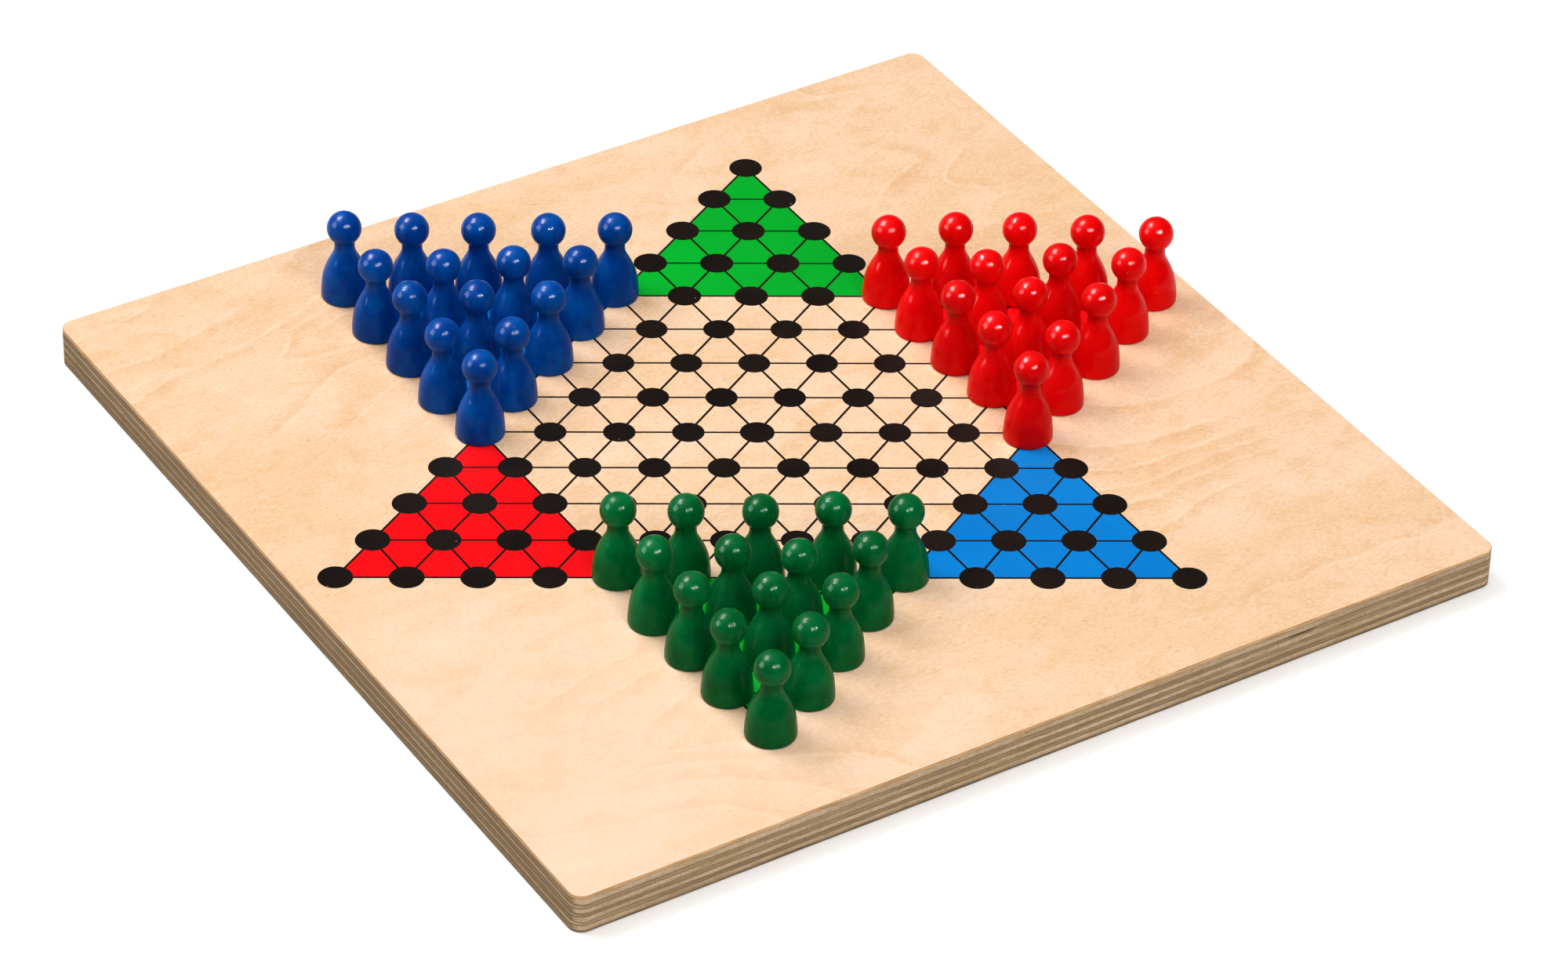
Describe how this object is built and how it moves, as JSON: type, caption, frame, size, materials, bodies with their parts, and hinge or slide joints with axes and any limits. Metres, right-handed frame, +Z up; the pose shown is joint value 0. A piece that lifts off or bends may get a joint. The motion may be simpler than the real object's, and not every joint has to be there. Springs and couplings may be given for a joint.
{
  "type": "chinese checkers board",
  "caption": "Square plywood board printed with a six-pointed star of joined spots, with three sets of turned wooden pawns standing in their home triangles.",
  "frame": {"origin": "centre of the board's underside, on the table", "axes": "+Z up through the board; +Y along the face grain, towards the red home; +X across the grain, towards the side between the green pawns and the empty blue home"},
  "size_m": [0.29, 0.29, 0.04],
  "materials": {
    "birch_face": "clear satin lacquer on rotary-cut birch veneer",
    "birch_cross_ply": "sanded veneer edge",
    "birch_long_ply": "sanded veneer edge",
    "black_ink": "satin screen-printed ink",
    "red_ink": "satin screen-printed ink",
    "blue_ink": "satin screen-printed ink",
    "green_ink": "satin screen-printed ink",
    "red_lacquer": "gloss dip lacquer on turned wood",
    "blue_lacquer": "gloss dip lacquer on turned wood",
    "green_lacquer": "gloss dip lacquer on turned wood"
  },
  "bodies": {
    "board": {"back_veneer": "birch_face", "cross_ply_8": "birch_cross_ply", "long_ply_7": "birch_long_ply", "cross_ply_6": "birch_cross_ply", "core_ply_5": "birch_long_ply", "cross_ply_4": "birch_cross_ply", "long_ply_3": "birch_long_ply", "cross_ply_2": "birch_cross_ply", "face_veneer": "birch_face", "print_red": "red_ink", "print_blue": "blue_ink", "print_green": "green_ink", "print_black": "black_ink"},
    "blue_pawn_01": {"blue_pawn_01": "blue_lacquer"},
    "blue_pawn_02": {"blue_pawn_02": "blue_lacquer"},
    "blue_pawn_03": {"blue_pawn_03": "blue_lacquer"},
    "blue_pawn_04": {"blue_pawn_04": "blue_lacquer"},
    "blue_pawn_05": {"blue_pawn_05": "blue_lacquer"},
    "blue_pawn_06": {"blue_pawn_06": "blue_lacquer"},
    "blue_pawn_07": {"blue_pawn_07": "blue_lacquer"},
    "blue_pawn_08": {"blue_pawn_08": "blue_lacquer"},
    "blue_pawn_09": {"blue_pawn_09": "blue_lacquer"},
    "blue_pawn_10": {"blue_pawn_10": "blue_lacquer"},
    "blue_pawn_11": {"blue_pawn_11": "blue_lacquer"},
    "blue_pawn_12": {"blue_pawn_12": "blue_lacquer"},
    "blue_pawn_13": {"blue_pawn_13": "blue_lacquer"},
    "blue_pawn_14": {"blue_pawn_14": "blue_lacquer"},
    "blue_pawn_15": {"blue_pawn_15": "blue_lacquer"},
    "green_pawn_01": {"green_pawn_01": "green_lacquer"},
    "green_pawn_02": {"green_pawn_02": "green_lacquer"},
    "green_pawn_03": {"green_pawn_03": "green_lacquer"},
    "green_pawn_04": {"green_pawn_04": "green_lacquer"},
    "green_pawn_05": {"green_pawn_05": "green_lacquer"},
    "green_pawn_06": {"green_pawn_06": "green_lacquer"},
    "green_pawn_07": {"green_pawn_07": "green_lacquer"},
    "green_pawn_08": {"green_pawn_08": "green_lacquer"},
    "green_pawn_09": {"green_pawn_09": "green_lacquer"},
    "green_pawn_10": {"green_pawn_10": "green_lacquer"},
    "green_pawn_11": {"green_pawn_11": "green_lacquer"},
    "green_pawn_12": {"green_pawn_12": "green_lacquer"},
    "green_pawn_13": {"green_pawn_13": "green_lacquer"},
    "green_pawn_14": {"green_pawn_14": "green_lacquer"},
    "green_pawn_15": {"green_pawn_15": "green_lacquer"},
    "red_pawn_01": {"red_pawn_01": "red_lacquer"},
    "red_pawn_02": {"red_pawn_02": "red_lacquer"},
    "red_pawn_03": {"red_pawn_03": "red_lacquer"},
    "red_pawn_04": {"red_pawn_04": "red_lacquer"},
    "red_pawn_05": {"red_pawn_05": "red_lacquer"},
    "red_pawn_06": {"red_pawn_06": "red_lacquer"},
    "red_pawn_07": {"red_pawn_07": "red_lacquer"},
    "red_pawn_08": {"red_pawn_08": "red_lacquer"},
    "red_pawn_09": {"red_pawn_09": "red_lacquer"},
    "red_pawn_10": {"red_pawn_10": "red_lacquer"},
    "red_pawn_11": {"red_pawn_11": "red_lacquer"},
    "red_pawn_12": {"red_pawn_12": "red_lacquer"},
    "red_pawn_13": {"red_pawn_13": "red_lacquer"},
    "red_pawn_14": {"red_pawn_14": "red_lacquer"},
    "red_pawn_15": {"red_pawn_15": "red_lacquer"}
  },
  "joints": [
    {"name": "blue_pawn_01_lift", "type": "slide", "parent": "board", "child": "blue_pawn_01", "axis": [0, 0, 1], "range_m": [0, 0.03]},
    {"name": "blue_pawn_02_lift", "type": "slide", "parent": "board", "child": "blue_pawn_02", "axis": [0, 0, 1], "range_m": [0, 0.03]},
    {"name": "blue_pawn_03_lift", "type": "slide", "parent": "board", "child": "blue_pawn_03", "axis": [0, 0, 1], "range_m": [0, 0.03]},
    {"name": "blue_pawn_04_lift", "type": "slide", "parent": "board", "child": "blue_pawn_04", "axis": [0, 0, 1], "range_m": [0, 0.03]},
    {"name": "blue_pawn_05_lift", "type": "slide", "parent": "board", "child": "blue_pawn_05", "axis": [0, 0, 1], "range_m": [0, 0.03]},
    {"name": "blue_pawn_06_lift", "type": "slide", "parent": "board", "child": "blue_pawn_06", "axis": [0, 0, 1], "range_m": [0, 0.03]},
    {"name": "blue_pawn_07_lift", "type": "slide", "parent": "board", "child": "blue_pawn_07", "axis": [0, 0, 1], "range_m": [0, 0.03]},
    {"name": "blue_pawn_08_lift", "type": "slide", "parent": "board", "child": "blue_pawn_08", "axis": [0, 0, 1], "range_m": [0, 0.03]},
    {"name": "blue_pawn_09_lift", "type": "slide", "parent": "board", "child": "blue_pawn_09", "axis": [0, 0, 1], "range_m": [0, 0.03]},
    {"name": "blue_pawn_10_lift", "type": "slide", "parent": "board", "child": "blue_pawn_10", "axis": [0, 0, 1], "range_m": [0, 0.03]},
    {"name": "blue_pawn_11_lift", "type": "slide", "parent": "board", "child": "blue_pawn_11", "axis": [0, 0, 1], "range_m": [0, 0.03]},
    {"name": "blue_pawn_12_lift", "type": "slide", "parent": "board", "child": "blue_pawn_12", "axis": [0, 0, 1], "range_m": [0, 0.03]},
    {"name": "blue_pawn_13_lift", "type": "slide", "parent": "board", "child": "blue_pawn_13", "axis": [0, 0, 1], "range_m": [0, 0.03]},
    {"name": "blue_pawn_14_lift", "type": "slide", "parent": "board", "child": "blue_pawn_14", "axis": [0, 0, 1], "range_m": [0, 0.03]},
    {"name": "blue_pawn_15_lift", "type": "slide", "parent": "board", "child": "blue_pawn_15", "axis": [0, 0, 1], "range_m": [0, 0.03]},
    {"name": "green_pawn_01_lift", "type": "slide", "parent": "board", "child": "green_pawn_01", "axis": [0, 0, 1], "range_m": [0, 0.03]},
    {"name": "green_pawn_02_lift", "type": "slide", "parent": "board", "child": "green_pawn_02", "axis": [0, 0, 1], "range_m": [0, 0.03]},
    {"name": "green_pawn_03_lift", "type": "slide", "parent": "board", "child": "green_pawn_03", "axis": [0, 0, 1], "range_m": [0, 0.03]},
    {"name": "green_pawn_04_lift", "type": "slide", "parent": "board", "child": "green_pawn_04", "axis": [0, 0, 1], "range_m": [0, 0.03]},
    {"name": "green_pawn_05_lift", "type": "slide", "parent": "board", "child": "green_pawn_05", "axis": [0, 0, 1], "range_m": [0, 0.03]},
    {"name": "green_pawn_06_lift", "type": "slide", "parent": "board", "child": "green_pawn_06", "axis": [0, 0, 1], "range_m": [0, 0.03]},
    {"name": "green_pawn_07_lift", "type": "slide", "parent": "board", "child": "green_pawn_07", "axis": [0, 0, 1], "range_m": [0, 0.03]},
    {"name": "green_pawn_08_lift", "type": "slide", "parent": "board", "child": "green_pawn_08", "axis": [0, 0, 1], "range_m": [0, 0.03]},
    {"name": "green_pawn_09_lift", "type": "slide", "parent": "board", "child": "green_pawn_09", "axis": [0, 0, 1], "range_m": [0, 0.03]},
    {"name": "green_pawn_10_lift", "type": "slide", "parent": "board", "child": "green_pawn_10", "axis": [0, 0, 1], "range_m": [0, 0.03]},
    {"name": "green_pawn_11_lift", "type": "slide", "parent": "board", "child": "green_pawn_11", "axis": [0, 0, 1], "range_m": [0, 0.03]},
    {"name": "green_pawn_12_lift", "type": "slide", "parent": "board", "child": "green_pawn_12", "axis": [0, 0, 1], "range_m": [0, 0.03]},
    {"name": "green_pawn_13_lift", "type": "slide", "parent": "board", "child": "green_pawn_13", "axis": [0, 0, 1], "range_m": [0, 0.03]},
    {"name": "green_pawn_14_lift", "type": "slide", "parent": "board", "child": "green_pawn_14", "axis": [0, 0, 1], "range_m": [0, 0.03]},
    {"name": "green_pawn_15_lift", "type": "slide", "parent": "board", "child": "green_pawn_15", "axis": [0, 0, 1], "range_m": [0, 0.03]},
    {"name": "red_pawn_01_lift", "type": "slide", "parent": "board", "child": "red_pawn_01", "axis": [0, 0, 1], "range_m": [0, 0.03]},
    {"name": "red_pawn_02_lift", "type": "slide", "parent": "board", "child": "red_pawn_02", "axis": [0, 0, 1], "range_m": [0, 0.03]},
    {"name": "red_pawn_03_lift", "type": "slide", "parent": "board", "child": "red_pawn_03", "axis": [0, 0, 1], "range_m": [0, 0.03]},
    {"name": "red_pawn_04_lift", "type": "slide", "parent": "board", "child": "red_pawn_04", "axis": [0, 0, 1], "range_m": [0, 0.03]},
    {"name": "red_pawn_05_lift", "type": "slide", "parent": "board", "child": "red_pawn_05", "axis": [0, 0, 1], "range_m": [0, 0.03]},
    {"name": "red_pawn_06_lift", "type": "slide", "parent": "board", "child": "red_pawn_06", "axis": [0, 0, 1], "range_m": [0, 0.03]},
    {"name": "red_pawn_07_lift", "type": "slide", "parent": "board", "child": "red_pawn_07", "axis": [0, 0, 1], "range_m": [0, 0.03]},
    {"name": "red_pawn_08_lift", "type": "slide", "parent": "board", "child": "red_pawn_08", "axis": [0, 0, 1], "range_m": [0, 0.03]},
    {"name": "red_pawn_09_lift", "type": "slide", "parent": "board", "child": "red_pawn_09", "axis": [0, 0, 1], "range_m": [0, 0.03]},
    {"name": "red_pawn_10_lift", "type": "slide", "parent": "board", "child": "red_pawn_10", "axis": [0, 0, 1], "range_m": [0, 0.03]},
    {"name": "red_pawn_11_lift", "type": "slide", "parent": "board", "child": "red_pawn_11", "axis": [0, 0, 1], "range_m": [0, 0.03]},
    {"name": "red_pawn_12_lift", "type": "slide", "parent": "board", "child": "red_pawn_12", "axis": [0, 0, 1], "range_m": [0, 0.03]},
    {"name": "red_pawn_13_lift", "type": "slide", "parent": "board", "child": "red_pawn_13", "axis": [0, 0, 1], "range_m": [0, 0.03]},
    {"name": "red_pawn_14_lift", "type": "slide", "parent": "board", "child": "red_pawn_14", "axis": [0, 0, 1], "range_m": [0, 0.03]},
    {"name": "red_pawn_15_lift", "type": "slide", "parent": "board", "child": "red_pawn_15", "axis": [0, 0, 1], "range_m": [0, 0.03]}
  ]
}
